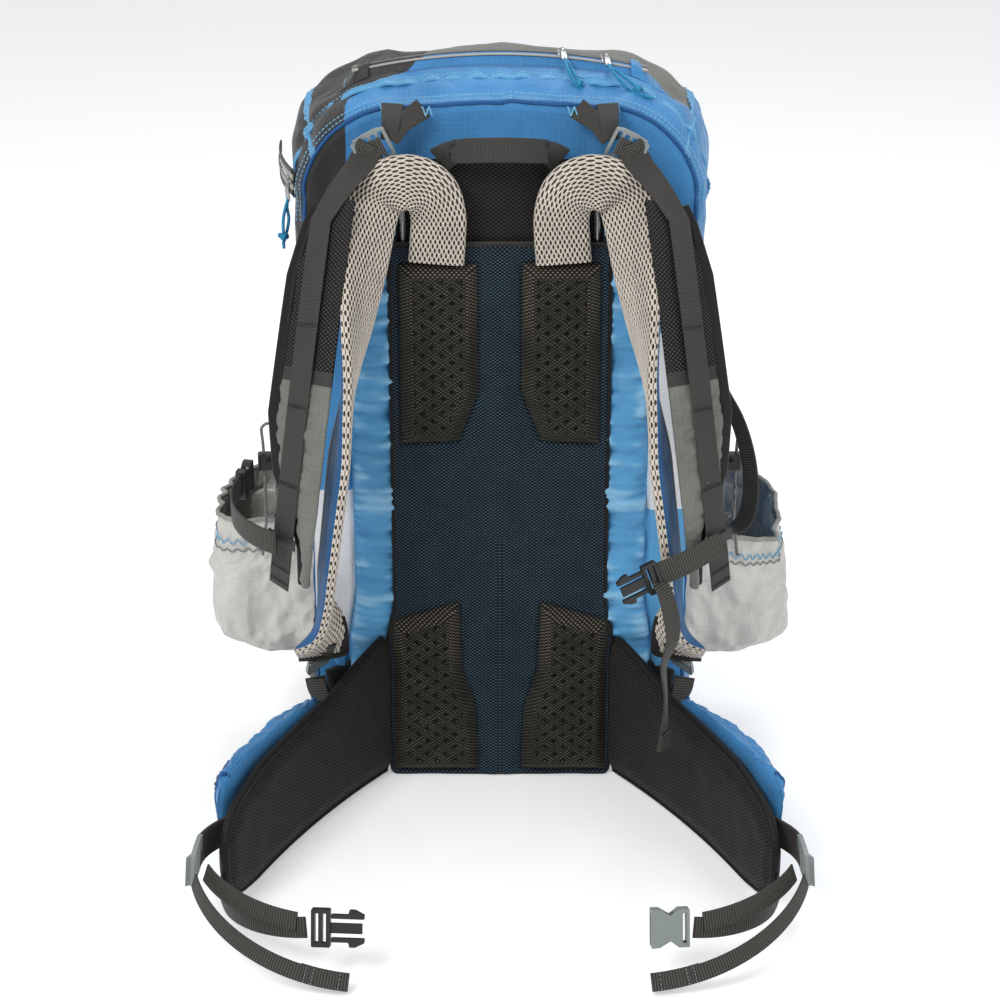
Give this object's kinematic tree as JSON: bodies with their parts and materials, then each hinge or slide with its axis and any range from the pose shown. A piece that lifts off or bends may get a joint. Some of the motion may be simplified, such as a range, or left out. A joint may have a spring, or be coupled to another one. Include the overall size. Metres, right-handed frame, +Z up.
{
  "type": "daypack",
  "caption": "Framed hiking daypack with a mesh back panel, curved shoulder straps, hip belt with side-release buckle, zipped top and stretch side pockets.",
  "frame": {"origin": "centre of the flat base the pack stands on", "axes": "+Z up, +X to the wearer's left, -Y towards the wearer, so the harness is on the -Y side"},
  "size_m": [0.48, 0.5551, 0.5967],
  "materials": {
    "shell_blue": "plain-weave nylon with a low sheen",
    "shell_charcoal": "plain-weave nylon",
    "pocket_ripstop": "thin ripstop stretch fabric",
    "back_mesh": "knitted spacer mesh",
    "strap_mesh": "knitted spacer mesh over foam",
    "webbing": "woven flat webbing",
    "foam": "perforated closed-cell foam",
    "buckle_grey": "moulded acetal, satin",
    "buckle_black": "moulded acetal, satin",
    "frame_alloy": "drawn rod, satin",
    "frame_plastic": "extruded sheet",
    "zip_tape": "coated zip tape",
    "zip_metal": "die-cast slider with a nylon cord pull",
    "elastic_cord": "braided elastic cord"
  },
  "bodies": {
    "bag": {"rear_panel": "shell_blue", "front_panel": "shell_charcoal", "bottom_panel": "shell_charcoal", "left_side_panel": "shell_blue", "right_side_panel": "shell_charcoal", "top_rear_panel": "shell_blue", "top_front_panel": "shell_charcoal", "top_zip_tape": "zip_tape", "side_zip_tape": "zip_tape", "mesh_back_panel": "back_mesh", "upper_back_pads": "foam", "lumbar_pads": "foam", "frame_sheet": "frame_plastic", "yoke_panel": "back_mesh", "frame_stays": "frame_alloy", "strap_roots": "strap_mesh", "lifter_anchors": "webbing", "lower_strap_webbing": "webbing", "left_side_pocket": "pocket_ripstop", "right_side_pocket": "pocket_ripstop", "pocket_laces": "elastic_cord", "side_compression_strap": "webbing"},
    "haul_loop": {"haul_loop": "webbing"},
    "left_zip_slider": {"left_zip_slider": "zip_metal"},
    "right_zip_slider": {"right_zip_slider": "zip_metal"},
    "side_zip_slider": {"side_zip_slider": "zip_metal"},
    "left_cord_lock": {"left_cord_lock": "buckle_black"},
    "left_cord_plunger": {"left_cord_plunger": "buckle_black"},
    "left_hip_wing": {"left_hip_wing": "back_mesh", "left_hip_pocket": "shell_blue"},
    "left_hip_slider": {"left_hip_slider": "zip_metal"},
    "left_waist_strap": {"left_waist_strap": "webbing", "waist_socket": "buckle_grey"},
    "left_belt_lock": {"left_belt_lock": "buckle_grey"},
    "left_shoulder_strap": {"left_strap_pad": "strap_mesh", "left_strap_pocket": "pocket_ripstop", "left_strap_rail": "webbing"},
    "left_lower_lock": {"left_lower_lock": "buckle_grey"},
    "left_chest_keeper": {"left_chest_keeper": "buckle_black"},
    "left_chest_strap": {"left_chest_strap": "webbing", "chest_plug": "buckle_black"},
    "left_lifter_lock": {"left_lifter_lock": "buckle_grey"},
    "right_cord_lock": {"right_cord_lock": "buckle_black"},
    "right_cord_plunger": {"right_cord_plunger": "buckle_black"},
    "right_hip_wing": {"right_hip_wing": "back_mesh", "right_hip_pocket": "shell_blue"},
    "right_hip_slider": {"right_hip_slider": "zip_metal"},
    "right_waist_strap": {"right_waist_strap": "webbing", "waist_plug": "buckle_black"},
    "right_belt_lock": {"right_belt_lock": "buckle_grey"},
    "right_shoulder_strap": {"right_strap_pad": "strap_mesh", "right_strap_pocket": "pocket_ripstop", "right_strap_rail": "webbing"},
    "right_lower_lock": {"right_lower_lock": "buckle_grey"},
    "right_chest_keeper": {"right_chest_keeper": "buckle_black"},
    "right_chest_strap": {"right_chest_strap": "webbing", "chest_socket": "buckle_black"},
    "right_lifter_lock": {"right_lifter_lock": "buckle_grey"},
    "upper_prong": {"upper_prong": "buckle_black"},
    "lower_prong": {"lower_prong": "buckle_black"}
  },
  "joints": [
    {"name": "haul_loop_lift", "type": "hinge", "parent": "bag", "child": "haul_loop", "pos_m": [0, -0.088, 0.537], "axis": [-1, 0, 0], "range_deg": [0, 50]},
    {"name": "left_zip_travel", "type": "hinge", "parent": "bag", "child": "left_zip_slider", "pos_m": [0, -0.013, 0.09486], "axis": [0, 1, 0], "range_deg": [-1.8, 1.6]},
    {"name": "right_zip_travel", "type": "hinge", "parent": "bag", "child": "right_zip_slider", "pos_m": [0, -0.013, 0.09486], "axis": [0, 1, 0], "range_deg": [-16.5, 0]},
    {"name": "side_zip_travel", "type": "slide", "parent": "bag", "child": "side_zip_slider", "axis": [-0.1713, 0.9852, 0], "range_m": [0, 0.062]},
    {"name": "left_cord_lock_slide", "type": "slide", "parent": "bag", "child": "left_cord_lock", "axis": [0, 0, 1], "range_m": [-0.03, 0.012]},
    {"name": "left_plunger_press", "type": "slide", "parent": "left_cord_lock", "child": "left_cord_plunger", "axis": [0, 1, 0], "range_m": [0, 0.003], "stiffness_N_per_m": 300},
    {"name": "left_wing_swing", "type": "hinge", "parent": "bag", "child": "left_hip_wing", "pos_m": [0.092, -0.078, 0.06], "axis": [0, 0, -1], "range_deg": [-18, 8]},
    {"name": "left_hip_zip_travel", "type": "hinge", "parent": "left_hip_wing", "child": "left_hip_slider", "pos_m": [-0.54152, -0.53323, 0.04], "axis": [0, 0, -1], "range_deg": [-2.4, 5.2]},
    {"name": "left_waist_swing", "type": "hinge", "parent": "left_hip_wing", "child": "left_waist_strap", "pos_m": [0.222, -0.301, 0.05], "axis": [0, 0, -1], "range_deg": [-12, 10]},
    {"name": "left_belt_lock_tilt", "type": "hinge", "parent": "left_waist_strap", "child": "left_belt_lock", "pos_m": [0.222, -0.301, 0.056], "axis": [-0.0882, -0.1078, 0.9902], "range_deg": [0, 12]},
    {"name": "left_strap_swing", "type": "hinge", "parent": "bag", "child": "left_shoulder_strap", "pos_m": [0.096, -0.094, 0.503], "axis": [-1, 0, 0], "range_deg": [0, 18]},
    {"name": "left_lower_lock_tilt", "type": "hinge", "parent": "left_shoulder_strap", "child": "left_lower_lock", "pos_m": [0.1462, -0.1087, 0.12249], "axis": [0.7708, -0.5299, -0.3535], "range_deg": [-8, 12]},
    {"name": "left_chest_height", "type": "hinge", "parent": "left_shoulder_strap", "child": "left_chest_keeper", "pos_m": [0.12213, 0.10431, 0.30494], "axis": [-0.9914, 0, -0.1308], "range_deg": [-6, 12]},
    {"name": "left_chest_swing", "type": "hinge", "parent": "left_chest_keeper", "child": "left_chest_strap", "pos_m": [0.16592, -0.18613, 0.25587], "axis": [0, 0, 1], "range_deg": [-5, 15]},
    {"name": "left_lifter_tilt", "type": "hinge", "parent": "bag", "child": "left_lifter_lock", "pos_m": [0.078, -0.09, 0.545], "axis": [-0.3992, 0.2224, -0.8895], "range_deg": [0, 12]},
    {"name": "right_cord_lock_slide", "type": "slide", "parent": "bag", "child": "right_cord_lock", "axis": [0, 0, 1], "range_m": [-0.03, 0.012]},
    {"name": "right_plunger_press", "type": "slide", "parent": "right_cord_lock", "child": "right_cord_plunger", "axis": [0, 1, 0], "range_m": [0, 0.003], "stiffness_N_per_m": 300},
    {"name": "right_wing_swing", "type": "hinge", "parent": "bag", "child": "right_hip_wing", "pos_m": [-0.092, -0.078, 0.06], "axis": [0, 0, 1], "range_deg": [-18, 8]},
    {"name": "right_hip_zip_travel", "type": "hinge", "parent": "right_hip_wing", "child": "right_hip_slider", "pos_m": [0.54152, -0.53323, 0.04], "axis": [0, 0, 1], "range_deg": [-2.4, 5.2]},
    {"name": "right_waist_swing", "type": "hinge", "parent": "right_hip_wing", "child": "right_waist_strap", "pos_m": [-0.222, -0.301, 0.05], "axis": [0, 0, 1], "range_deg": [-12, 10]},
    {"name": "right_belt_lock_tilt", "type": "hinge", "parent": "right_waist_strap", "child": "right_belt_lock", "pos_m": [-0.222, -0.301, 0.056], "axis": [-0.0882, 0.1078, -0.9902], "range_deg": [0, 12]},
    {"name": "right_strap_swing", "type": "hinge", "parent": "bag", "child": "right_shoulder_strap", "pos_m": [-0.096, -0.094, 0.503], "axis": [-1, 0, 0], "range_deg": [0, 18]},
    {"name": "right_lower_lock_tilt", "type": "hinge", "parent": "right_shoulder_strap", "child": "right_lower_lock", "pos_m": [-0.1462, -0.1087, 0.12249], "axis": [0.7708, 0.5299, 0.3535], "range_deg": [-8, 12]},
    {"name": "right_chest_height", "type": "hinge", "parent": "right_shoulder_strap", "child": "right_chest_keeper", "pos_m": [-0.12213, 0.10431, 0.30494], "axis": [-0.9914, 0, 0.1308], "range_deg": [-6, 12]},
    {"name": "right_chest_swing", "type": "hinge", "parent": "right_chest_keeper", "child": "right_chest_strap", "pos_m": [-0.16592, -0.18613, 0.25587], "axis": [0, 0, 1], "range_deg": [-1, 10]},
    {"name": "right_lifter_tilt", "type": "hinge", "parent": "bag", "child": "right_lifter_lock", "pos_m": [-0.078, -0.09, 0.545], "axis": [-0.3992, -0.2224, 0.8895], "range_deg": [0, 12]},
    {"name": "upper_prong_squeeze", "type": "hinge", "parent": "right_waist_strap", "child": "upper_prong", "pos_m": [-0.12098, -0.39262, 0.03269], "axis": [-0.101, -0.9526, 0.2868], "range_deg": [0, 6], "stiffness_Nm_per_rad": 0.3},
    {"name": "lower_prong_squeeze", "type": "hinge", "parent": "right_waist_strap", "child": "lower_prong", "pos_m": [-0.12081, -0.38767, 0.04918], "axis": [0.101, 0.9526, -0.2868], "range_deg": [0, 6], "stiffness_Nm_per_rad": 0.3}
  ],
  "couplings": [
    {"joint": "lower_prong_squeeze", "follows": "upper_prong_squeeze", "ratio": 1}
  ]
}
